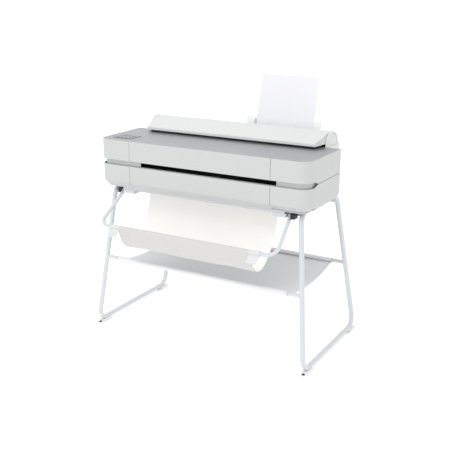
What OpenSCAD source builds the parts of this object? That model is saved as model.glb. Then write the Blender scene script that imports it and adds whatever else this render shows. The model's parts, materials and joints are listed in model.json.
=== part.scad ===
// Large format plotter on a tube stand with a catch bin. Units are millimetres, Z up, front is -Y.

/* [Body] */
// Width over the side covers
body_w = 1013; // [900:1:1100]
// Front face to the back of the side covers
body_d = 311.5; // [280:0.5:340]
// Height of the top edge above the floor
top_z = 874; // [820:1:930]
// Radius of the two upright front corners
corner_r = 55; // [40:1:70]
// Height of the upper front covers
band_h = 87; // [60:1:110]
// Height of the gap the print comes out of
slot_h = 22; // [16:1:30]
// Distance between the two vertical seams
centre_w = 680; // [600:1:720]
// Wall of the plastic covers
wall = 3; // [2:0.5:5]

/* [Roll cover] */
// Outer radius of the round back of the cover
arch_r = 60; // [58:0.5:70]
// Half width of the front wing
wing_x = 415; // [380:1:430]
// Half width over the end caps
cap_x = 445; // [430:1:460]
// Radius of the paper roll
roll_r = 43; // [30:1:45]

/* [Sheet] */
// Sheet width
sheet_w = 279; // [210:1:297]
// Sheet length
sheet_l = 432; // [297:1:432]
// Centre of the sheet across the body
sheet_x = 180; // [170:1:190]
// Lean of the sheet from upright, degrees
sheet_lean = 14.63; // [12:0.01:16]

/* [Stand] */
// Radius of the leg tube
leg_r = 10.5; // [8:0.5:13]
// Half distance between the legs at the top
leg_top_x = 455.5; // [440:0.5:470]
// Half distance between the legs at the floor
leg_foot_x = 520.5; // [500:0.5:540]
// Height of the top rail of the legs
leg_top_z = 655; // [640:1:658]
// Bend radius of the leg tube
leg_bend = 50; // [35:1:70]
// Height of the two shelf bars
shelf_z = 330; // [250:1:420]
// Half width of the shelf sling
shelf_x = 425; // [380:1:440]
// Length of a foot
foot_l = 87; // [70:1:100]

/* [Catch bin] */
// Radius of the bin tube
bin_r = 8; // [6:0.5:10]
// Distance from the pivot to the front bar
arm_l = 201.4; // [180:0.1:220]
// Angle of the arms below level, degrees
arm_drop = 36.9; // [30:0.1:45]
// Half width of the bin cloth
cloth_x = 312; // [280:1:313]
// Length of the sheet tabs on the front bar
tab_l = 50; // [40:1:70]

/* [Hidden] */
$fn = 64;

half_w = body_w / 2;
front_y = -body_d / 2;
back_y = body_d / 2;
seam = centre_w / 2;
seam_gap = 0.2;
slot_top = top_z - band_h;
slot_bot = slot_top - slot_h;
apron_z = slot_bot - 78;
skirt_z = apron_z - 15;
side_seam = slot_bot + 9;
trim_in = 12;
deck_t = 2;
deck_z = top_z - 3;
deck_back = 86;
frame_x = 470;
tray_x = 395;
tray_z = 652;
tray_front = -128.5;

arch_y = 212;
arch_z = 873;
lip_y = 92;
lip_z = 887;
lip_h = 10;
cap_t = 7.5;
house_back = 290;
house_z = 700;
spin_z = 871;
spin_r = 9;
fit = 0.06;

sheet_y0 = 239;
sheet_z0 = 717;
tray_top = 950;

collar_gap = 0.6;
collar_l = 4;
collar_t = 0.15;
bar_foot_z = 20.5;
leg_rise = leg_top_z - bar_foot_z;
leg_tilt = atan((leg_foot_x - leg_top_x) / leg_rise);
leg_h = leg_rise / cos(leg_tilt);
leg_pts = [[-107, leg_h], [253.5, leg_h], [361, 0], [-192, 0]];
foot_w = 30;
foot_h = 15;
foot_back = 369;
shelf_r = 8;
shelf_f = -151;
shelf_b = 308.5;

piv_y = -107;
piv_z = 642;
piv_x = 409.5;
bar_x = 427;
bin_bend = 42;
bar_y = piv_y - arm_l * cos(arm_drop);
bar_z = piv_z - arm_l * sin(arm_drop);
tab_t = 3;
tab_x = 337;
tab_w = 46;
tab_tilt = 38;
rod_y = -32;
rod_z = 644;

out_front = bar_y - tab_l * cos(tab_tilt) - tab_t / 2 * sin(tab_tilt);
y_shift = -(out_front + foot_back) / 2;

white = [0.86, 0.87, 0.86];
steel = [0.69, 0.69, 0.71];
dark = [0.05, 0.05, 0.06];
cloth = [0.93, 0.92, 0.88];

// ---------- helpers ----------
module place() translate([0, y_shift, 0]) children();

module box(a, b) translate(a) cube(b - a);

module xbar(x0, x1, pts)
  translate([x0, 0, 0]) rotate([90, 0, 90]) linear_extrude(x1 - x0) polygon(pts);

module rod(x0, x1, y, z, r)
  translate([x0, y, z]) rotate([0, 90, 0]) cylinder(h = x1 - x0, r = r);

module both() { children(); mirror([1, 0, 0]) children(); }

// Body plan with round front and small rear corners, moved in by c
module plan_box(c, z0, z1) {
  rf = corner_r - c; rb = 8 - min(c, 6);
  x1 = half_w - c; y0 = front_y + c; y1 = back_y - c;
  translate([0, 0, z0]) {
    box([-x1 + rf, y0, 0], [x1 - rf, y1, z1 - z0]);
    box([-x1, y0 + rf, 0], [x1, y1 - rb, z1 - z0]);
    box([-x1 + rb, y0 + rf, 0], [x1 - rb, y1, z1 - z0]);
    for (s = [-1, 1]) {
      translate([s * (x1 - rf), y0 + rf, 0]) cylinder(h = z1 - z0, r = rf);
      translate([s * (x1 - rb), y1 - rb, 0]) cylinder(h = z1 - z0, r = rb);
    }
  }
}

module plan_ring(c, t, z0, z1)
  difference() { plan_box(c, z0, z1); plan_box(c + t, z0 - 1, z1 + 1); }

function dir2(a, b) = (b - a) / norm(b - a);
function turn(p, q, s) = acos(dir2(p, q) * dir2(q, s));
function trim_len(p, q, s, bend) = bend * tan(turn(p, q, s) / 2);

// Round tube through flat points, bent at each inner point, with a thin collar where a bend starts and ends
module bent_tube(pts, bend, r, closed) {
  n = len(pts);
  last = closed ? n - 1 : n - 2;
  for (i = [0 : last]) {
    a = pts[i]; b = pts[(i + 1) % n]; c = pts[(i + 2) % n];
    d = dir2(a, b);
    head = atan2(d[1], d[0]);
    ca = closed || i > 0 ? trim_len(pts[(i + n - 1) % n], a, b, bend) : 0;
    cb = closed || i < last ? trim_len(a, b, c, bend) : 0;
    ga = ca > 0 ? collar_gap : 0;
    gb = cb > 0 ? collar_gap : 0;
    tube_piece(a + d * (ca + ga), head, norm(b - a) - ca - cb - ga - gb, r);
    if (ca > 0) tube_piece(a + d * (ca - collar_l / 2), head, collar_l, r + collar_t);
    if (cb > 0) {
      s = cross(d, dir2(b, c)) > 0 ? 1 : -1;
      t = turn(a, b, c);
      o = b - d * cb + s * bend * [-d[1], d[0]];
      tube_piece(b - d * (cb + collar_l / 2), head, collar_l, r + collar_t);
      translate(concat(o, 0)) rotate([0, 0, s > 0 ? head - 90 : head + 90 - t])
        rotate_extrude(angle = t) translate([bend, 0]) circle(r = r);
    }
  }
}

module tube_piece(p, head, l, r)
  translate(concat(p, 0)) rotate([0, 0, head]) rotate([0, 90, 0]) cylinder(h = l, r = r);

// Strip of even thickness along a line of points
function normal_at(p, i) = let (d = dir2(p[max(i - 1, 0)], p[min(i + 1, len(p) - 1)])) [-d[1], d[0]];
function strip(p, t) = concat([for (i = [0 : len(p) - 1]) p[i] + normal_at(p, i) * t / 2],
  [for (i = [len(p) - 1 : -1 : 0]) p[i] - normal_at(p, i) * t / 2]);
function bezier(a, b, c, d, n) = [for (i = [0 : n]) let (t = i / n, u = 1 - t)
  a * u * u * u + b * 3 * u * u * t + c * 3 * u * t * t + d * t * t * t];

// ---------- body ----------
module side_half(s) {
  if (s > 0) box([seam + seam_gap / 2, -400, 0], [600, 400, 1200]);
  else box([-600, -400, 0], [-seam - seam_gap / 2, 400, 1200]);
}

module upper_profile()
  xbar(-600, 600, [[-400, slot_top], [-100, slot_top], [-60, side_seam + 0.6], [400, side_seam + 0.6],
    [400, top_z], [-400, top_z]]);

module lower_profile()
  xbar(-600, 600, [[-400, slot_bot], [-100, slot_bot], [-60, side_seam], [400, side_seam],
    [400, apron_z], [back_y, apron_z], [140, skirt_z], [front_y + 12.5, skirt_z], [front_y, apron_z],
    [-400, apron_z]]);

module door_zone(g)
  box([seam, -400, skirt_z - 1], [600, front_y + corner_r + g, slot_bot + 1]);

module lower_side(s)
  intersection() {
    union() { plan_ring(0, wall, skirt_z, side_seam); plan_box(wall, skirt_z, skirt_z + wall); }
    lower_profile();
    difference() {
      side_half(s);
      box([-tray_x - 5, -400, 0], [tray_x + 5, 400, skirt_z + wall]);
    }
  }

module upper_side(s)
  intersection() {
    union() { plan_ring(0, wall, slot_bot, top_z); plan_ring(wall, 8, deck_z - 3, deck_z); }
    upper_profile();
    side_half(s);
  }

module chassis_base() color(steel) place() {
  difference() {
    box([-tray_x, tray_front - wall, tray_z], [tray_x, 150, skirt_z + wall]);
    box([-tray_x + wall, tray_front, tray_z + wall], [tray_x - wall, 147, skirt_z + wall + 1]);
  }
}

module chassis_frame() color(steel) place() difference() {
  union() {
    difference() {
      box([-frame_x, tray_front, skirt_z + wall], [frame_x, 150, skirt_z + 2 * wall]);
      box([-300, -60, skirt_z], [300, 130, skirt_z + 10]);
    }
    both() box([frame_x - wall, -130, skirt_z + 2 * wall], [frame_x, 120, 850]);
    box([-frame_x, 120, 800], [frame_x, 123, 862]);
    both() box([frame_x - wall, 119, skirt_z + 2 * wall], [frame_x, 123, 800]);
  }
  rod(-500, 500, 25, 753, 5 + fit);
}

module lower_front_cover() color(white) place()
  xbar(-seam + seam_gap / 2, seam - seam_gap / 2, [[front_y, slot_bot], [front_y, apron_z],
    [front_y + 20, apron_z - 25], [tray_front - wall, apron_z - 25], [front_y + wall, apron_z + 1.5],
    [front_y + wall, slot_bot - wall], [front_y + 9, slot_bot - wall], [front_y + 9, slot_bot]]);

module lower_left_cover() color(white) place() lower_side(-1);
module lower_right_cover() color(white) place() difference() { lower_side(1); door_zone(0.4); }
module upper_left_cover() color(white) place() upper_side(-1);
module upper_right_cover() color(white) place() upper_side(1);

door_y = -139;
door_z = skirt_z + 5;
door_pin_r = 1.6;
module ink_door() color(white) place() {
  intersection() {
    union() {
      plan_ring(0, wall, skirt_z, slot_bot);
      xbar(seam, 600, [[front_y + wall, apron_z - 4], [front_y + wall, apron_z], [front_y + wall + 1, apron_z],
        [-141, skirt_z + 1.5], [-141, skirt_z], [front_y + 12.5, skirt_z]]);
    }
    plan_box(0, skirt_z, slot_bot);
    lower_profile();
    side_half(1);
    door_zone(0);
  }
  for (x = [352, 436]) difference() {
    union() {
      box([x, front_y + wall - 0.5, door_z + 1], [x + 12, door_y, door_z + 4]);
      rod(x, x + 12, door_y, door_z, 4);
    }
    rod(x - 1, x + 13, door_y, door_z, door_pin_r + fit);
  }
}

module ink_door_hinge() color(steel) place() {
  rod(348, 452, door_y, door_z, door_pin_r);
  for (x = [348, 449.5])
    box([x, door_y - 2, skirt_z + wall], [x + 2.5, tray_front, skirt_z + 2 * wall]);
}

module deck_side(s) intersection() {
  plan_box(wall, deck_z, deck_z + deck_t);
  side_half(s);
}

module deck_left() color(steel) place() difference() {
  deck_side(-1);
  box([-466.2, -98.2, 800], [-369.8, -21.8, 900]);
}
module deck_right() color(steel) place() deck_side(1);

module deck_rear() color(steel) place() {
  box([-seam + 0.2, lip_y + 1, deck_z - 1], [seam - 0.2, 153, deck_z + deck_t]);
  both() box([330, 120, 862], [seam - 0.2, 123, deck_z - 1]);
}

hinge_y = deck_back - 2;
hinge_z = 865;
module main_cover() color(white) place() {
  x1 = seam - seam_gap / 2;
  xbar(-x1, x1, [[front_y, slot_top], [front_y, top_z], [front_y + wall - 0.2, top_z],
    [front_y + wall - 0.2, deck_z], [deck_back, deck_z], [deck_back, deck_z - wall],
    [front_y + wall, deck_z - wall], [front_y + wall, slot_top]]);
  both() box([x1 - wall, front_y + wall, 852], [x1, 70, deck_z - wall]);
  both() difference() {
    rod(320, 332, hinge_y, hinge_z, 4);
    rod(319, 333, hinge_y, hinge_z, 2.5 + fit);
  }
}

module main_cover_plate() color(steel) place() difference() {
  box([-seam + 0.6, front_y + wall, deck_z], [seam - 0.6, deck_back, deck_z + deck_t]);
  box([-118, deck_back - 9, deck_z + 0.6], [118, deck_back + 1, deck_z + deck_t + 1]);
}

module main_cover_hinge() color(steel) place() both() {
  rod(316, 336, hinge_y, hinge_z, 2.5);
  for (x = [316, 333]) {
    box([x, hinge_y - 3, 856], [x + 3, lip_y + 6, hinge_z - 1]);
    box([x, lip_y + 2, 856], [x + 3, lip_y + 6, deck_z - 1]);
  }
}

module slot_trim() color(dark) place() difference() {
  intersection() {
    plan_ring(trim_in, 2, slot_bot - 8, slot_top + 8);
    box([-600, -400, 0], [600, -55, 1200]);
  }
  box([-288, -400, slot_bot + 1], [362, 0, slot_top - 1]);
}

module output_platen() color(dark) place() {
  box([-450, front_y + trim_in + 2, slot_bot - 3], [450, 8, slot_bot]);
  box([-frame_x + wall, 42, slot_bot - 3], [frame_x - wall, 118, slot_bot]);
}

module touchscreen_bezel() color(dark) place() difference() {
  box([-466, -98, deck_z - 6], [-370, -22, top_z + 0.5]);
  box([-454, -90, top_z], [-382, -40, top_z + 1]);
}
module touchscreen_display() color([0.75, 0.82, 0.9]) place()
  box([-454, -90, top_z], [-382, -40, top_z + 0.4]);

// ---------- roll holder at the back ----------
module rear_housing() color(white) place() {
  x1 = cap_x - cap_t;
  difference() {
    box([-cap_x, back_y + 0.1, house_z], [cap_x, house_back, arch_z - 1]);
    box([-x1, back_y + wall, house_z + wall], [x1, house_back - wall, arch_z]);
    box([-330, back_y - 1, 735], [360, back_y + wall + 1, 800]);
    both() rod(x1 - 1, x1 + 4, arch_y, spin_z, spin_r + fit);
  }
  box([sheet_x - 130, sheet_y0 - 5, house_z + wall], [sheet_x + 130, sheet_y0 + 7, sheet_z0 - 0.3]);
}

module end_cap(s) {
  x0 = s > 0 ? cap_x - cap_t : -cap_x;
  difference() {
    intersection() {
      rod(x0, x0 + cap_t, arch_y, arch_z, arch_r + 1);
      box([-600, back_y + 0.1, arch_z - 1], [600, 400, 1200]);
    }
    both() rod(cap_x - cap_t - 1, cap_x - cap_t + 4, arch_y, spin_z, spin_r + fit);
  }
}
module end_cap_left() color(white) place() end_cap(-1);
module end_cap_right() color(white) place() end_cap(1);

tan_a = atan2(lip_z + lip_h - arch_z, lip_y - arch_y)
  - acos(arch_r / norm([lip_z + lip_h - arch_z, lip_y - arch_y]));
function arch_pt(r, a) = [arch_y + r * cos(a), arch_z + r * sin(a)];
module roll_cover() color(white) place() {
  x1 = cap_x - cap_t - 0.5;
  difference() {
    rod(-x1, x1, arch_y, arch_z, arch_r);
    rod(-x1 - 1, x1 + 1, arch_y, arch_z, arch_r - 2.5);
    xbar(-600, 600, [[arch_y, arch_z], arch_pt(200, tan_a), [-100, 1200], [-100, 600], [400, 600],
      arch_pt(200, -4)]);
  }
  xbar(-wing_x, wing_x, [[lip_y, lip_z], [lip_y, lip_z + lip_h], arch_pt(arch_r, tan_a),
    arch_pt(arch_r - 2.5, tan_a), [lip_y + 4, lip_z + lip_h - 2.5], [lip_y + 4, lip_z]]);
  both() xbar(wing_x - 2.5, wing_x, [[lip_y + 4, lip_z], [lip_y + 4, lip_z + lip_h - 2.5],
    arch_pt(arch_r - 2.5, tan_a), arch_pt(arch_r - 2.5, tan_a + 28), [170, lip_z]]);
}

module cover_bumpers() color(white) place() both()
  translate([247, 101, deck_z + deck_t]) cylinder(h = lip_z - deck_z - deck_t - 0.3, r = 5);

module spindle() color(dark) place()
  rod(-cap_x + cap_t - 3.5, cap_x - cap_t + 3.5, arch_y, spin_z, spin_r);
module roll_hubs() color([0.2, 0.3, 0.5]) place() both() difference() {
  union() {
    rod(305.1, 313, arch_y, spin_z, roll_r + 3);
    rod(285, 305.1, arch_y, spin_z, 25.5);
  }
  rod(284, 320, arch_y, spin_z, spin_r);
}
module paper_roll() color([0.95, 0.95, 0.95]) place() difference() {
  rod(-305, 305, arch_y, spin_z, roll_r);
  rod(-306, 306, arch_y, spin_z, 25.5);
}

// Point on the sheet's line at height z, moved back by o
function sheet_at(z, o) = [sheet_y0 + (z - sheet_z0) * tan(sheet_lean) + o / cos(sheet_lean), z];
module sheet_tray() color(white) place()
  xbar(-9, 353, [sheet_at(860, 1), sheet_at(tray_top, 1), sheet_at(tray_top, 5), sheet_at(872, 5),
    [house_back - wall, 872], [house_back - wall, 860]]);

module paper_guide() color(white) place()
  xbar(32, 40, [sheet_at(900, -3), sheet_at(940, -3), sheet_at(940, 0.6), sheet_at(900, 0.6)]);

module media_sheet() color([0.97, 0.97, 1]) place()
  translate([sheet_x - sheet_w / 2, sheet_y0, sheet_z0]) rotate([-sheet_lean, 0, 0])
    translate([0, -0.15, 0]) cube([sheet_w, 0.3, sheet_l]);

// ---------- mechanism ----------
module carriage_rail() color(steel) place()
  rod(-frame_x + wall, frame_x - wall, 20, 812, 7);

car_x = 405;
module carriage() color(dark) place() difference() {
  union() {
    box([car_x - 45, -58, 785], [car_x + 45, 6, 845]);
    box([car_x - 38, 6, 800], [car_x + 38, 32, 824]);
  }
  rod(car_x - 50, car_x + 50, 20, 812, 7 + fit);
  box([car_x - 36, -52, 784], [car_x + 36, 0, 842]);
}
module printhead() color([0.15, 0.15, 0.18]) place() difference() {
  box([car_x - 36, -52, 770], [car_x + 36, 0, 830]);
  box([car_x - 30, -46, 810], [car_x + 30, -6, 831]);
}
module encoder_strip() color([0.6, 0.6, 0.6]) place()
  box([-frame_x + wall, 50, 830], [frame_x - wall, 50.6, 840]);

module feed_roller() color(dark) place() {
  rod(-478, 474, 25, 753, 5);
  rod(-300, 334, 25, 753, 11.5);
}
module feed_motor() color(steel) place() difference() {
  rod(-497, -frame_x, 25, 753, 20);
  rod(-478.5, -469, 25, 753, 5 + fit);
}

module ink_cartridges() place()
  for (i = [0 : 3])
    color([[0.1, 0.1, 0.1], [0, 0.6, 0.85], [0.85, 0.1, 0.5], [0.95, 0.85, 0.1]][i])
      box([353 + i * 27, -134, 703], [378 + i * 27, -45, 750]);
module cartridge_bay() color(dark) place() {
  box([350, -134, skirt_z + 2 * wall], [463, -38, 703]);
  box([350, -45, 703], [463, -38, 752]);
}
module service_station() color(dark) place() difference() {
  box([362, -56, slot_bot], [448, 4, 769.5]);
  box([372, -50, slot_bot + 2], [438, -2, 771]);
}
module main_board() color([0.1, 0.35, 0.2]) place()
  box([-250, -50, tray_z + wall], [-60, 90, tray_z + wall + 2]);
module power_supply() color(steel) place()
  box([60, -40, tray_z + wall], [230, 110, tray_z + wall + 40]);

module power_inlet() color(dark) place() difference() {
  box([456, back_y, 700], [486, back_y + 12, 724]);
  box([460, back_y + 3, 704], [482, back_y + 13, 720]);
}
module data_ports() color(dark) place() for (z = [700, 724]) difference() {
  box([-482, back_y, z], [-462, back_y + 6, z + 18]);
  box([-479, back_y + 2, z + 3], [-465, back_y + 7, z + 15]);
}

// ---------- stand ----------
module leg(r) translate([leg_foot_x, 0, bar_foot_z]) rotate([0, -leg_tilt, 0]) rotate([90, 0, 90])
  bent_tube(leg_pts, leg_bend, r, true);

module right_leg_frame() color(white) place() leg(leg_r);
module left_leg_frame() color(white) place() mirror([1, 0, 0]) leg(leg_r);

module pad(y0, w, z0, z1) {
  for (y = [y0 + w / 2, y0 + foot_l - w / 2])
    translate([leg_foot_x, y, z0]) cylinder(h = z1 - z0, r = w / 2);
  box([leg_foot_x - w / 2, y0 + w / 2, z0], [leg_foot_x + w / 2, y0 + foot_l - w / 2, z1]);
}
module foot(y0) difference() {
  union() {
    pad(y0, foot_w, 0, 7);
    box([leg_foot_x - 12, y0 + 14, 7], [leg_foot_x + 12, y0 + foot_l - 14, foot_h]);
  }
  leg(leg_r);
}
module feet() color(white) place() both() { foot(-195); foot(foot_back - foot_l); }

module shelf_bar(y) difference() {
  rod(-495, 495, y, shelf_z, shelf_r);
  both() leg(leg_r);
  both() box([485, -400, 200], [600, 500, 400]);
}
module shelf_bar_front() color(white) place() shelf_bar(shelf_f);
module shelf_bar_rear() color(white) place() shelf_bar(shelf_b);

function sag(t) = [shelf_f + (shelf_b - shelf_f) * t, shelf_z - shelf_r - 0.6 - 112 * t * (1 - t)];
module shelf_fabric() color([0.82, 0.83, 0.84]) place() {
  difference() {
    union() {
      for (y = [shelf_f, shelf_b]) rod(-shelf_x, shelf_x, y, shelf_z, shelf_r + 1.5);
      xbar(-shelf_x, shelf_x, strip([for (i = [0 : 12]) sag(i / 12)], 1.6));
    }
    for (y = [shelf_f, shelf_b]) rod(-500, 500, y, shelf_z, shelf_r);
  }
}
module shelf_clips() color(dark) place() for (y = [shelf_f, shelf_b]) both() difference() {
  rod(shelf_x + 1, shelf_x + 4, y, shelf_z, shelf_r + 1.5);
  rod(shelf_x, shelf_x + 5, y, shelf_z, shelf_r);
}

module stand_brackets() color(white) place() both() difference() {
  union() {
    box([340, -128, 636], [398, -60, tray_z]);
    box([398, -90, 640], [leg_top_x, -60, tray_z]);
    box([340, 116, 640], [leg_top_x, 146, tray_z]);
  }
  leg(leg_r);
}
module rear_cross_beam() color(white) place() difference() {
  box([-leg_top_x, 236, 622], [leg_top_x, 250, 640]);
  both() leg(leg_r);
  both() box([leg_top_x + 1, 200, 600], [600, 260, 700]);
}

// ---------- catch bin ----------
module bin_frame() color(white) place() difference() {
  union() {
    translate([0, piv_y, piv_z]) rotate([180 + arm_drop, 0, 0])
      bent_tube([[-piv_x, 0], [-bar_x, arm_l], [bar_x, arm_l], [piv_x, 0]], bin_bend, bin_r, false);
    both() rod(402, 415, piv_y, piv_z, 9);
  }
  both() rod(398, 420, piv_y, piv_z, 4 + fit);
  both() box([415, piv_y - 30, piv_z - 12], [430, piv_y + 30, piv_z + 12]);
}
module bin_pivots() color(dark) place() both() {
  rod(400, 416, piv_y, piv_z, 4);
  box([415.4, -121, 632], [433, -90, tray_z]);
  difference() { rod(398, 401.6, piv_y, piv_z, 6.5); }
}
module bin_rear_rod() color(steel) place() {
  rod(-330, 330, rod_y, rod_z, 4);
  for (x = [-330, 0, 324]) box([x, rod_y - 3, rod_z + 2], [x + 6, rod_y + 3, tray_z]);
}
module bin_fabric() color(cloth) place() {
  difference() {
    union() {
      rod(-cloth_x, cloth_x, bar_y, bar_z, bin_r + 1.5);
      xbar(-cloth_x, cloth_x, strip(bezier([rod_y, rod_z - 5.5], [-70, 430], [-235, 330],
        [bar_y - bin_r - 0.8, bar_z], 18), 1.4));
    }
    rod(-500, 500, bar_y, bar_z, bin_r);
  }
}
module bin_tab(s) {
  x0 = s * tab_x - tab_w / 2;
  difference() {
    union() {
      rod(x0, x0 + tab_w, bar_y, bar_z, bin_r + 3);
      translate([x0, bar_y, bar_z]) rotate([tab_tilt, 0, 0])
        translate([0, -tab_l, -tab_t / 2]) cube([tab_w, tab_l - bin_r - 1, tab_t]);
    }
    rod(x0 - 1, x0 + tab_w + 1, bar_y, bar_z, bin_r + fit);
  }
}
module bin_tab_left() color(white) place() bin_tab(-1);
module bin_tab_right() color(white) place() bin_tab(1);

chassis_base();
chassis_frame();
lower_front_cover();
lower_left_cover();
lower_right_cover();
upper_left_cover();
upper_right_cover();
ink_door();
ink_door_hinge();
deck_left();
deck_right();
deck_rear();
main_cover();
main_cover_plate();
main_cover_hinge();
slot_trim();
output_platen();
touchscreen_bezel();
touchscreen_display();
rear_housing();
end_cap_left();
end_cap_right();
roll_cover();
cover_bumpers();
spindle();
roll_hubs();
paper_roll();
sheet_tray();
paper_guide();
media_sheet();
carriage_rail();
carriage();
printhead();
encoder_strip();
feed_roller();
feed_motor();
ink_cartridges();
cartridge_bay();
service_station();
main_board();
power_supply();
power_inlet();
data_ports();
left_leg_frame();
right_leg_frame();
feet();
shelf_bar_front();
shelf_bar_rear();
shelf_fabric();
shelf_clips();
stand_brackets();
rear_cross_beam();
bin_frame();
bin_pivots();
bin_rear_rod();
bin_fabric();
bin_tab_left();
bin_tab_right();
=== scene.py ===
import bpy, bmesh, math, json
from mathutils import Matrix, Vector


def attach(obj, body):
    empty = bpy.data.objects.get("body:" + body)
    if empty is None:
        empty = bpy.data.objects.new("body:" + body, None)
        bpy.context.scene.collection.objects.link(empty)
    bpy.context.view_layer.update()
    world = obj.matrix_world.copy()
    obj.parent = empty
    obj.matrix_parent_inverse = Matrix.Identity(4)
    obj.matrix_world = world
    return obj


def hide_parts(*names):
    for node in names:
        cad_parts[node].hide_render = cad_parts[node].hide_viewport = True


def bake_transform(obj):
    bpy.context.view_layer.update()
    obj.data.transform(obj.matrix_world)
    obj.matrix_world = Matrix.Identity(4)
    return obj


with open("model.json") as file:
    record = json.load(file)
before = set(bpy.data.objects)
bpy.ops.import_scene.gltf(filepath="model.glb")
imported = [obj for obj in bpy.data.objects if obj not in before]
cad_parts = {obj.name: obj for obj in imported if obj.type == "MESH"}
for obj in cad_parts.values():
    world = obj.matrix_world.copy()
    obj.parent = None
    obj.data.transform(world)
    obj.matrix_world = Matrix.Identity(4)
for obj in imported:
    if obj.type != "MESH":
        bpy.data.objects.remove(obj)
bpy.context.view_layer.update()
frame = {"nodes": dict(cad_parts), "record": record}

ROOT = "printer_and_stand"

# ---- sizes, millimetres in the body's own frame; Y_SHIFT takes them to the shared frame
Y_SHIFT = -30.308

# body covers
HALF = 506.5                              # half width
FRONT, BACK = -155.75, 155.75
CORNER = 55.0                             # plan radius of the front corners
SEAM, SIDE_EDGE = 339.4, 340.6            # ends of the middle covers, starts of the side covers
TOP, SLOT_TOP, SLOT_BOTTOM = 874.0, 787.0, 765.0
WALL = 3.0
SIDE_GAP_TOP, SIDE_GAP_BOTTOM = 774.7, 773.5   # the slot narrows to this gap along the sides
SKIRT = 672.2                             # underside of the side covers
BACK_COVER_LOW = 690

# ink door and main cover hinges
DOOR_AXIS = (-139, 677)
DOOR_PIN = 1.66
COVER_AXIS = (84, 865)
COVER_PIN = 2.56
LUG_R, LUG_W = 4, 12

# roll cover: round back, front lip, end caps
ARCH_Y, ARCH_Z, ARCH_R = 212.0, 873.0, 60.0
COVER_T = 2.5
LIP_Y, LIP_TOP, LIP_BOTTOM = 92.0, 897.0, 883.5
WING_X, TUBE_X = 418, 437
CAP_IN, CAP_FACE, CAP_OUT = 437.6, 443.0, 445.0
CAP_BASE = 872

# catch bin
PIVOT_Y, PIVOT_Z = -107, 642
ARM, ARM_DROP = 201.4, math.radians(36.9)
BAR_Y = PIVOT_Y - ARM * math.cos(ARM_DROP)
BAR_Z = PIVOT_Z - ARM * math.sin(ARM_DROP)
BAR_WRAP = 9.4
BIN_HALF = 320
TAB_X, TAB_HALF, TAB_TILT = 337, 23, math.radians(38)

# shelf sling
SHELF_BACK, SHELF_FRONT, SHELF_Z = 308.5, -151.0, 330.0
SHELF_WRAP, SHELF_DROP = 9.0, 112
SHELF_HALF = 425
CLOTH_T = 1.2

# touch screen tiles and foot plugs
TILE, TILE_PITCH, TILE_START, TILE_RISE = (15, 13), (21, 20), (-448, -84), (0.4, 0.46)
FOOT_X, PLUG = 520.5, 10


def mm(p):
    return (p[0] / 1000, (p[1] + Y_SHIFT) / 1000, p[2] / 1000)


# ---- materials
WEAVE_SCALE = 420
BUMP_DEPTH = 0.0004


def woven_height(nt, coord):
    """Height of a plain weave: two crossed sets of bands, added."""
    add = nt.nodes.new("ShaderNodeMath")
    add.operation = "ADD"
    for i, axis in enumerate(("X", "Y")):
        wave = nt.nodes.new("ShaderNodeTexWave")
        wave.wave_type = "BANDS"
        wave.bands_direction = axis
        wave.inputs["Scale"].default_value = WEAVE_SCALE
        nt.links.new(coord, wave.inputs["Vector"])
        nt.links.new(wave.outputs["Fac"], add.inputs[i])
    return add.outputs[0]


def material(name, color, rough=0.45, metal=0.0, bump=0.0, scale=200.0, coat=0.0, vary=0.02,
             emit=0.0, sheen=0.0, weave=False, through=0.0):
    """A finish with a slight change of colour; through is the share of light that it lets pass."""
    m = bpy.data.materials.new(name)
    m.use_nodes = True
    nt = m.node_tree
    base = nt.nodes["Principled BSDF"]
    base.inputs["Roughness"].default_value = rough
    base.inputs["Metallic"].default_value = metal
    base.inputs["Coat Weight"].default_value = coat
    base.inputs["Sheen Weight"].default_value = sheen
    coord = nt.nodes.new("ShaderNodeTexCoord").outputs["Object"]
    noise = nt.nodes.new("ShaderNodeTexNoise")
    noise.inputs["Scale"].default_value = scale
    noise.inputs["Detail"].default_value = 3
    nt.links.new(coord, noise.inputs["Vector"])
    tint = nt.nodes.new("ShaderNodeMix")
    tint.data_type = "RGBA"
    tint.inputs[6].default_value = tuple(max(0, c * (1 - vary)) for c in color) + (1,)
    tint.inputs[7].default_value = tuple(min(1, c * (1 + vary)) for c in color) + (1,)
    nt.links.new(noise.outputs["Fac"], tint.inputs[0])
    nt.links.new(tint.outputs[2], base.inputs["Base Color"])
    # emit makes the surface glow by itself: painted light on the bin and shelf cloth; on the floor it keeps
    # the floor evenly bright
    if emit:
        nt.links.new(tint.outputs[2], base.inputs["Emission Color"])
        base.inputs["Emission Strength"].default_value = emit
    if bump:
        relief = nt.nodes.new("ShaderNodeBump")
        relief.inputs["Strength"].default_value = bump
        relief.inputs["Distance"].default_value = BUMP_DEPTH
        nt.links.new(woven_height(nt, coord) if weave else noise.outputs["Fac"], relief.inputs["Height"])
        nt.links.new(relief.outputs["Normal"], base.inputs["Normal"])
    if through:
        passed = nt.nodes.new("ShaderNodeBsdfTranslucent")
        nt.links.new(tint.outputs[2], passed.inputs["Color"])
        share = nt.nodes.new("ShaderNodeMixShader")
        share.inputs[0].default_value = through
        nt.links.new(base.outputs[0], share.inputs[1])
        nt.links.new(passed.outputs[0], share.inputs[2])
        nt.links.new(share.outputs[0], nt.nodes["Material Output"].inputs["Surface"])
    return m


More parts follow.
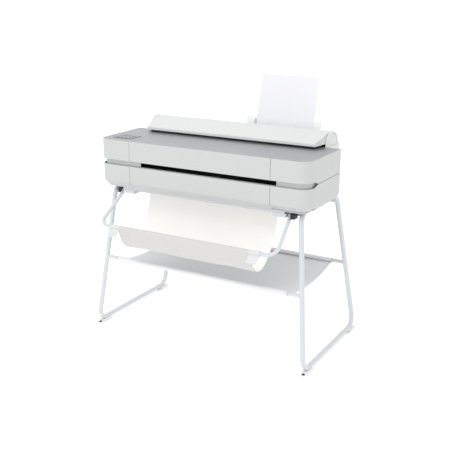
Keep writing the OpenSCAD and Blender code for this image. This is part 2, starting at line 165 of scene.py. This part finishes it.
CLOTH = dict(rough=0.85, bump=0.25, scale=500, sheen=0.1, weave=True)
FINISHES = {
    "white_plastic": dict(color=(0.545, 0.558, 0.552), rough=0.42, bump=0.08, scale=900),
    "cover_plastic": dict(color=(0.665, 0.68, 0.674), rough=0.4, bump=0.1, scale=900),
    # a lighter copy of the white plastic: painted light that lifts shaded parts
    "white_plastic_painted_lit": dict(color=(0.83, 0.845, 0.845), rough=0.4, bump=0.1, scale=900),
    "grey_deck": dict(color=(0.40, 0.402, 0.42), rough=0.38, metal=0.6, bump=0.12, scale=1200, vary=0.05),
    "black_plastic": dict(color=(0.012, 0.012, 0.014), rough=0.5, bump=0.1, scale=900),
    "groove_grey": dict(color=(0.14, 0.14, 0.14), rough=0.6, bump=0.1, scale=900),
    "screen_glass": dict(color=(0.008, 0.009, 0.011), rough=0.12, coat=0.5),
    "screen_image": dict(color=(0.03, 0.035, 0.045), rough=0.25),
    "screen_tiles": dict(color=(0.32, 0.35, 0.38), rough=0.3),
    "tube_paint": dict(color=(0.625, 0.65, 0.68), rough=0.32, bump=0.06, scale=500, coat=0.2),
    "sheet_steel": dict(color=(0.55, 0.56, 0.58), rough=0.4, metal=0.8, bump=0.1, scale=600),
    "bin_cloth": dict(CLOTH, color=(0.665, 0.66, 0.65), through=0.1),
    # painted light: a lighter copy of the bin cloth that glows by itself, for the upper side of the bin
    "bin_cloth_painted_glow": dict(CLOTH, color=(0.86, 0.85, 0.83), emit=0.15),
    # the shelf cloth's slight glow is painted light, for soft light bounced under the printer
    "shelf_cloth": dict(CLOTH, color=(0.765, 0.775, 0.78), emit=0.03),
    "white_paper": dict(color=(0.785, 0.785, 0.815), rough=0.8, bump=0.05, scale=700),
    "hub_blue": dict(color=(0.08, 0.16, 0.4), rough=0.45),
    "board_green": dict(color=(0.03, 0.2, 0.08), rough=0.5, bump=0.2, scale=150, vary=0.2),
    "ink_case": dict(color=(0.04, 0.04, 0.045), rough=0.4),
    "roller_rubber": dict(color=(0.03, 0.03, 0.03), rough=0.75, bump=0.2, scale=700),
}
M = {name: material(name, **look) for name, look in FINISHES.items()}

# the CAD nodes take their record slot's finish, apart from three white ones that look lighter: the sheet tray
# and the feet get a lighter copy of the white plastic, painted light to lift the shade they fall in, and the
# rear housing takes the cover plastic
slots = {s["node"]: s["material_slot"] for s in frame["record"]["subparts"]}
finish = dict(slots, sheet_tray="white_plastic_painted_lit", feet="white_plastic_painted_lit", rear_housing="cover_plastic")
for node, cad in frame["nodes"].items():
    cad.data.materials.clear()
    cad.data.materials.append(M[finish[node]])


# ---- mesh building
def circle(n):
    return [(math.cos(2 * math.pi * i / n), math.sin(2 * math.pi * i / n)) for i in range(n)]


class Build:
    """Collects closed strips of quads and turns them into one object."""

    def __init__(self):
        self.v, self.f = [], []

    def loops(self, rows, closed=False):
        """Rows of equal length, each a closed loop, joined by quads; the ends are capped unless closed."""
        s = len(self.v)
        n, k = len(rows), len(rows[0])
        for r in rows:
            self.v += [mm(p) for p in r]
        for i in range(n if closed else n - 1):
            a, b = s + i * k, s + (i + 1) % n * k
            for j in range(k):
                j2 = (j + 1) % k
                self.f.append((a + j, a + j2, b + j2, b + j))
        if not closed:
            self.f.append(tuple(s + j for j in range(k))[::-1])
            self.f.append(tuple(s + (n - 1) * k + j for j in range(k)))

    def extrude_x(self, x0, x1, prof, n=1):
        self.loops([[(x0 + (x1 - x0) * i / n, y, z) for y, z in prof] for i in range(n + 1)])

    def box(self, a, b):
        self.extrude_x(a[0], b[0], [(a[1], a[2]), (b[1], a[2]), (b[1], b[2]), (a[1], b[2])])

    def ring_x(self, x0, x1, y, z, r, hole, n=48):
        """A tube along X round the line y, z."""
        self.loops([[(x0, y + r * c, z + r * s), (x1, y + r * c, z + r * s),
                     (x1, y + hole * c, z + hole * s), (x0, y + hole * c, z + hole * s)]
                    for c, s in circle(n)], closed=True)

    def obj(self, name, mat, body, replaces=(), bevel=0.0008, smooth_angle=35, weighted=True):
        me = bpy.data.meshes.new(name)
        me.from_pydata(self.v, [], self.f)
        me.validate()
        o = bpy.data.objects.new(name, me)
        bpy.context.scene.collection.objects.link(o)
        bm = bmesh.new()
        bm.from_mesh(me)
        bmesh.ops.recalc_face_normals(bm, faces=bm.faces)
        for e in bm.edges:
            if len(e.link_faces) == 2 and e.calc_face_angle(0) > math.radians(smooth_angle):
                e.smooth = False
        for f in bm.faces:
            f.smooth = True
        bm.to_mesh(me)
        bm.free()
        me.materials.append(M[mat])
        if bevel:
            edge = o.modifiers.new("bevel", "BEVEL")
            edge.width = bevel
            edge.segments = 2
            edge.limit_method = "ANGLE"
            edge.angle_limit = math.radians(40)
        if weighted:
            normals = o.modifiers.new("wn", "WEIGHTED_NORMAL")
            normals.keep_sharp = not bevel
        if replaces:
            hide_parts(*replaces)
        if body:
            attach(o, body)
        return o


# ---- body covers: a wall profile swept round the plan outline
def smooth(t):
    t = max(0.0, min(1.0, t))
    return t * t * (3 - 2 * t)


def left_path():
    """The plan outline from the back, round the corner, to the seam: x, y, and the way in."""
    cx, cy = -HALF + CORNER, FRONT + CORNER
    p = [(-HALF, BACK - (BACK - cy) * i / 24, 1, 0) for i in range(25)]
    for i in range(1, 17):
        a = math.radians(180 + 90 * i / 16)
        p.append((cx + CORNER * math.cos(a), cy + CORNER * math.sin(a), -math.cos(a), -math.sin(a)))
    return p + [(cx + (-SIDE_EDGE - cx) * i / 4, FRONT, 0, 1) for i in range(1, 5)]


def flip(path):
    return [(-x, y, -nx, ny) for x, y, nx, ny in path]


def mirror_box(b, side, lo, hi):
    """A box given for the right side, put on the side asked for."""
    x0, x1 = sorted((side * lo[0], side * hi[0]))
    b.box((x0, lo[1], lo[2]), (x1, hi[1], hi[2]))


def sweep(b, path, prof):
    """prof gives, for a place on the path, the wall's outline as (distance in, height)."""
    b.loops([[(x + nx * i, y + ny * i, z) for i, z in prof(x, y)] for x, y, nx, ny in path])


def upper_prof(x, y):
    zb = SLOT_TOP + (SIDE_GAP_TOP - SLOT_TOP) * smooth((y + 104) / 44)
    return [(3, zb), (1.4, zb), (0.4, zb + 0.4), (0, zb + 1.4), (0, 830), (0, 871.8), (0.5, 873.3),
            (1.8, TOP), (3, TOP), (3, 868.5)]


# lower edges of the front, the sides and the ink door, each with the same count of points
LOW_FRONT = [(0, 694), (0.5, 690), (2.2, 686.3), (12, 674.2), (18.4, 666.2), (21, 663.6), (24, 662.4),
             (24, 665), (5, 688), (3, 694)]
LOW_SIDE = [(0, 682), (0.1, 679), (0.6, 676.5), (1.5, 674.4), (3, 672.9), (4.6, 672.2), (7, 672), (7, 675),
            (5, 677), (3, 682)]
# the door ends above the fixed sill, so that it clears the chassis as it swings
LOW_DOOR = LOW_FRONT[:4] + [(12.8, 673.2), (13.6, 672.4), (14.4, 672.2), (14.6, 673.4)] + LOW_FRONT[8:]
SILL = [(15.5, 669.6), (18.4, 666.2), (21, 663.6), (24, 662.4), (24, 665), (17.5, 671)]


def lower_prof(x, y, front=LOW_FRONT):
    zt = SLOT_BOTTOM + (SIDE_GAP_BOTTOM - SLOT_BOTTOM) * smooth((y + 104) / 44)
    w = 1 - smooth((y + 112) / 60)
    rise = max(0.0, y - 139) * 0.95
    top = [(3, zt - 3), (3, zt), (2.2, zt), (0.7, zt - 0.6), (0, zt - 2.2), (0, 730)]
    low = [(a[0] * w + c[0] * (1 - w), a[1] * w + (c[1] + rise) * (1 - w)) for a, c in zip(front, LOW_SIDE)]
    return top + low


left = left_path()
straight = [p for p in left if p[1] >= FRONT + CORNER - 0.01 and p[0] < -HALF + 0.01]
corner = left[len(straight) - 1:]
corner = [(corner[0][0], corner[0][1] - 0.35, 1, 0)] + corner[1:]
middle = [(x, FRONT, 0, 1) for x in (-SEAM, -170, 0, 170, SEAM)]

for side, word in ((-1, "left"), (1, "right")):
    bd = Build()
    sweep(bd, left if side < 0 else flip(left), upper_prof)
    mirror_box(bd, side, (SIDE_EDGE, BACK - WALL, 775), (HALF - WALL, BACK, TOP))
    bd.obj("upper_" + word + "_shell", "white_plastic", ROOT, ["upper_" + word + "_cover"])

for side, word in ((-1, "left"), (1, "right")):
    bd = Build()
    sweep(bd, left if side < 0 else flip(straight), lower_prof)
    mirror_box(bd, side, (SIDE_EDGE, BACK - WALL, BACK_COVER_LOW), (HALF - WALL, BACK, 773))
    mirror_box(bd, side, (400.5, -98, SKIRT), (HALF - 4, BACK - 14, 675))
    if side < 0:
        mirror_box(bd, side, (400.5, -136, SKIRT), (470, -98, 675))
    bd.obj("lower_" + word + "_shell", "white_plastic", ROOT, ["lower_" + word + "_cover"])

bd = Build()
sweep(bd, flip(corner), lambda x, y: lower_prof(x, y, LOW_DOOR))
for x in (352, 436):
    bd.ring_x(x, x + LUG_W, *DOOR_AXIS, LUG_R, DOOR_PIN)
    bd.box((x, FRONT + WALL - 0.25, 678), (x + LUG_W, -140.5, 681))
bd.obj("ink_door_shell", "white_plastic", "ink_door", ["ink_door"])
bd = Build()
sweep(bd, flip(corner), lambda x, y: SILL)
bd.obj("door_sill", "white_plastic", ROOT, bevel=0.0004)

bd = Build()
sweep(bd, middle, lower_prof)
bd.obj("lower_front_shell", "white_plastic", ROOT, ["lower_front_cover"])

bd = Build()
sweep(bd, middle, upper_prof)
bd.box((-SEAM, FRONT + WALL - 0.2, 868), (SEAM, 86, 870.9))
for side in (-1, 1):
    mirror_box(bd, side, (SEAM - WALL, FRONT + WALL, 852), (SEAM, 70, 868))
    x0, x1 = sorted((side * 320, side * (320 + LUG_W)))
    bd.ring_x(x0, x1, *COVER_AXIS, LUG_R, COVER_PIN)
bd.obj("main_cover_shell", "white_plastic", "main_cover", ["main_cover"])

# ---- roll cover
lip_dy, lip_dz = LIP_Y - ARCH_Y, LIP_TOP - ARCH_Z
tangent = math.atan2(lip_dz, lip_dy) % (2 * math.pi) - math.acos(ARCH_R / math.hypot(lip_dz, lip_dy))
back_edge = math.radians(-4)


def arc(r, a0, a1, n):
    turns = [a0 + (a1 - a0) * i / n for i in range(n + 1)]
    return [(ARCH_Y + r * math.cos(a), ARCH_Z + r * math.sin(a)) for a in turns]


bd = Build()
outside, inside = arc(ARCH_R, tangent, back_edge, 40), arc(ARCH_R - COVER_T, back_edge, tangent, 40)
bd.extrude_x(-TUBE_X, TUBE_X, outside + inside, 2)
lip_front = [(LIP_Y, LIP_BOTTOM), (LIP_Y, LIP_TOP - 4), (LIP_Y + 1.2, LIP_TOP - 1.4),
             (LIP_Y + 3.6, LIP_TOP + 1.0)]
lip_back = [(LIP_Y + 5, LIP_TOP - 2.6), (LIP_Y + 3.4, LIP_TOP - 4), (LIP_Y + 3, LIP_BOTTOM)]
wing = lip_front + [outside[0], inside[-1]] + lip_back
meets_tube = [0] * len(lip_front) + [1, 1] + [0] * len(lip_back)
bd.loops([[(x * (WING_X + (TUBE_X - WING_X) * k), y, z) for (y, z), k in zip(wing, meets_tube)]
          for x in (-1, -0.97, 0, 0.97, 1)])
cheek_arc = arc(ARCH_R - COVER_T, tangent, math.radians(166), 12)
cheek = [(WING_X, LIP_Y + 3, LIP_BOTTOM), (WING_X, LIP_Y + 3, LIP_TOP - 1.5)]
cheek += [(TUBE_X, y, z) for y, z in cheek_arc]
for side in (-1, 1):
    bd.loops([[(side * (x - t), y, z) for x, y, z in cheek] for t in (0, 2.4)])
bd.obj("roll_cover_shell", "cover_plastic", "roll_cover", ["roll_cover"], bevel=0.0006)

# arched end caps with a raised rim
half_turn = [math.pi * i / 48 for i in range(49)]
for side, word in ((-1, "left"), (1, "right")):
    bd = Build()
    # across the rim, from inside to outside and back: distance along x, arch radius, height added to it
    rim = [(CAP_IN, 61), (CAP_OUT - 1.2, 61), (CAP_OUT, 60), (CAP_OUT, 54), (CAP_FACE, 53), (CAP_IN, 53)]
    bd.loops([[(side * x, ARCH_Y + r * math.cos(a), CAP_BASE + (r + 0.8) * math.sin(a)) for x, r in rim]
              for a in half_turn])
    x0, x1 = sorted((side * (CAP_IN + 0.6), side * (CAP_FACE - 0.4)))
    bd.extrude_x(x0, x1, [(ARCH_Y + 53.2 * math.cos(a), CAP_BASE + 54 * math.sin(a)) for a in half_turn])
    bd.obj("end_cap_" + word + "_shell", "cover_plastic", ROOT, ["end_cap_" + word], bevel=0.0004)


# ---- cloth
def bezier(p, t):
    u = 1 - t
    return tuple(p[0][i] * u ** 3 + 3 * p[1][i] * u * u * t + 3 * p[2][i] * u * t * t + p[3][i] * t ** 3
                 for i in (0, 1))


def wrap(y, z, r, degrees):
    return [(y + r * math.cos(math.radians(a)), z + r * math.sin(math.radians(a))) for a in degrees]


def steps(a, b, n):
    return [a + (b - a) * i / n for i in range(n + 1)]


def cloth_strip(name, line, xs, wave, mat, body, replaces):
    """A strip across X that follows a line of (y, z); wave(x, t) moves it along its normal."""
    n = len(line)
    rows = []
    for x in xs:
        over, under = [], []
        for i, (y, z) in enumerate(line):
            a, b = line[max(i - 1, 0)], line[min(i + 1, n - 1)]
            d = math.dist(a, b)
            ny, nz = -(b[1] - a[1]) / d, (b[0] - a[0]) / d
            w = wave(x, i / (n - 1))
            over.append((x, y + ny * (w + CLOTH_T / 2), z + nz * (w + CLOTH_T / 2)))
            under.append((x, y + ny * (w - CLOTH_T / 2), z + nz * (w - CLOTH_T / 2)))
        rows.append(over + under[::-1])
    bd = Build()
    bd.loops(rows)
    return bd.obj(name, mat, body, replaces, bevel=0, weighted=False, smooth_angle=60)


def bin_wave(x, t):
    """Slight ripples that die out at the rod and at the bar, and one soft upright crease."""
    if t >= 0.85:
        return 0
    ripple = 1.6 * math.sin(x / 61.0 + 2.0 * t) + 1.1 * math.sin(x / 23.0 + 5 * t) * (0.4 + 0.6 * t)
    crease = 2.2 * math.exp(-((x + 262) / 9.0) ** 2) * 0.6
    return math.sin(math.pi * t / 0.85) * (ripple + crease)


def shelf_wave(x, t):
    return 0.9 * math.sin(x / 90 + 3 * t) * math.sin(math.pi * t)


sling = [(-32, 638.5), (-70, 430), (-235, 330), (BAR_Y - BAR_WRAP, BAR_Z - 1)]
line = [bezier(sling, i / 60) for i in range(60)] + wrap(BAR_Y, BAR_Z, BAR_WRAP, range(180, -60, -15))
binc = cloth_strip("bin_cloth_sheet", line, steps(-BIN_HALF, BIN_HALF, 96), bin_wave, "bin_cloth", None,
                   ["bin_fabric"])
# the side that faces up into the bin gets a lighter copy of the cloth that glows by itself: painted light for
# the light bounced inside the bin
binc.data.materials.append(M["bin_cloth_painted_glow"])
for face in binc.data.polygons:
    if all(v % (2 * len(line)) >= len(line) for v in face.vertices):
        face.material_index = 1
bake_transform(binc)

sag = [(SHELF_FRONT + (SHELF_BACK - SHELF_FRONT) * t, SHELF_Z - 8 - SHELF_DROP * t * (1 - t))
       for t in (i / 40 for i in range(1, 40))]
sline = (wrap(SHELF_FRONT, SHELF_Z, SHELF_WRAP, range(-20, 271, 15)) + sag
         + wrap(SHELF_BACK, SHELF_Z, SHELF_WRAP, range(-90, 201, 15)))
sh = cloth_strip("shelf_cloth_sheet", sline, steps(-SHELF_HALF, SHELF_HALF, 60), shelf_wave,
                 "shelf_cloth", ROOT, ["shelf_fabric"])

# ---- sheet tabs: a clip round the bar and a rounded tongue
rounding = [math.radians(15 * k) for k in range(7)]
tongue = [(-22.5, 9.5)] + [(-22.5 + 6 * (1 - math.cos(a)), 44 + 6 * math.sin(a)) for a in rounding]
tongue += [(-u, v) for u, v in tongue[::-1]]
tilt_cos, tilt_sin = math.cos(TAB_TILT), math.sin(TAB_TILT)
for side, word in ((-1, "left"), (1, "right")):
    bd = Build()
    cx = side * TAB_X
    bd.ring_x(cx - TAB_HALF, cx + TAB_HALF, BAR_Y, BAR_Z, 10.8, 8.1)
    bd.loops([[(cx + u, BAR_Y - v * tilt_cos - w * tilt_sin, BAR_Z - v * tilt_sin + w * tilt_cos)
               for u, v in tongue] for w in (-1.4, 1.4)])
    bd.obj("bin_tab_" + word + "_clip", "cover_plastic", "bin_tab_" + word, ["bin_tab_" + word], bevel=0.0005)

# ---- plain tiles on the touch screen, and the dark plugs at the front and back ends of the feet
bd = Build()
for i in range(3):
    for k in range(2):
        x, y = TILE_START[0] + i * TILE_PITCH[0], TILE_START[1] + k * TILE_PITCH[1]
        bd.box((x, y, TOP + TILE_RISE[0]), (x + TILE[0], y + TILE[1], TOP + TILE_RISE[1]))
bd.obj("screen_tiles_mesh", "screen_tiles", ROOT, bevel=0)
bd = Build()
for side in (-1, 1):
    for y in (-190.5, 353.5):
        bd.box((side * FOOT_X - PLUG / 2, y, 7), (side * FOOT_X + PLUG / 2, y + PLUG, 10.2))
bd.obj("foot_plugs", "black_plastic", ROOT, bevel=0.0005)

# ---- camera: square picture, from the front right and a little above
PICTURE = 452
sc = bpy.context.scene
cam = bpy.data.cameras.new("camera")
cam.sensor_width = 36
cam.lens = 61.34
cam.clip_end = 300
eye = bpy.data.objects.new("camera", cam)
sc.collection.objects.link(eye)
eye.location = (1.6524, (-2765.98 + Y_SHIFT) / 1000, 1.5025)
eye.rotation_euler = (math.radians(90 - 17.163), 0, math.radians(30.048))
sc.camera = eye
sc.render.resolution_x = PICTURE
sc.render.resolution_y = PICTURE

# ---- floor and light
FLOOR = 90
me = bpy.data.meshes.new("floor")
me.from_pydata([(-FLOOR, -FLOOR, 0), (FLOOR, -FLOOR, 0), (FLOOR, FLOOR, 0), (-FLOOR, FLOOR, 0)],
               [], [(0, 1, 2, 3)])
fl = bpy.data.objects.new("floor", me)
sc.collection.objects.link(fl)
me.materials.append(material("floor_white", (0.97, 0.97, 0.97), 0.9, vary=0.0, emit=0.18))

world = bpy.data.worlds.new("world")
sc.world = world
world.use_nodes = True
sky = world.node_tree.nodes["Background"]
sky.inputs[0].default_value = (1, 1, 1, 1)
sky.inputs[1].default_value = 1.0


def area(name, loc, target, size, power):
    lamp = bpy.data.lights.new(name, "AREA")
    lamp.shape = "RECTANGLE"
    lamp.size, lamp.size_y = size
    lamp.energy = power
    o = bpy.data.objects.new(name, lamp)
    o.location = loc
    o.rotation_euler = (Vector(target) - Vector(loc)).to_track_quat("-Z", "Y").to_euler()
    sc.collection.objects.link(o)


area("key", (-0.4, -1.6, 3.4), (0, 0, 0.5), (2.6, 2.0), 26)
area("front", (0.6, -3.4, 1.1), (0, 0, 0.55), (2.4, 1.4), 4)
sc.view_settings.view_transform = "Standard"
sc.view_settings.look = "None"
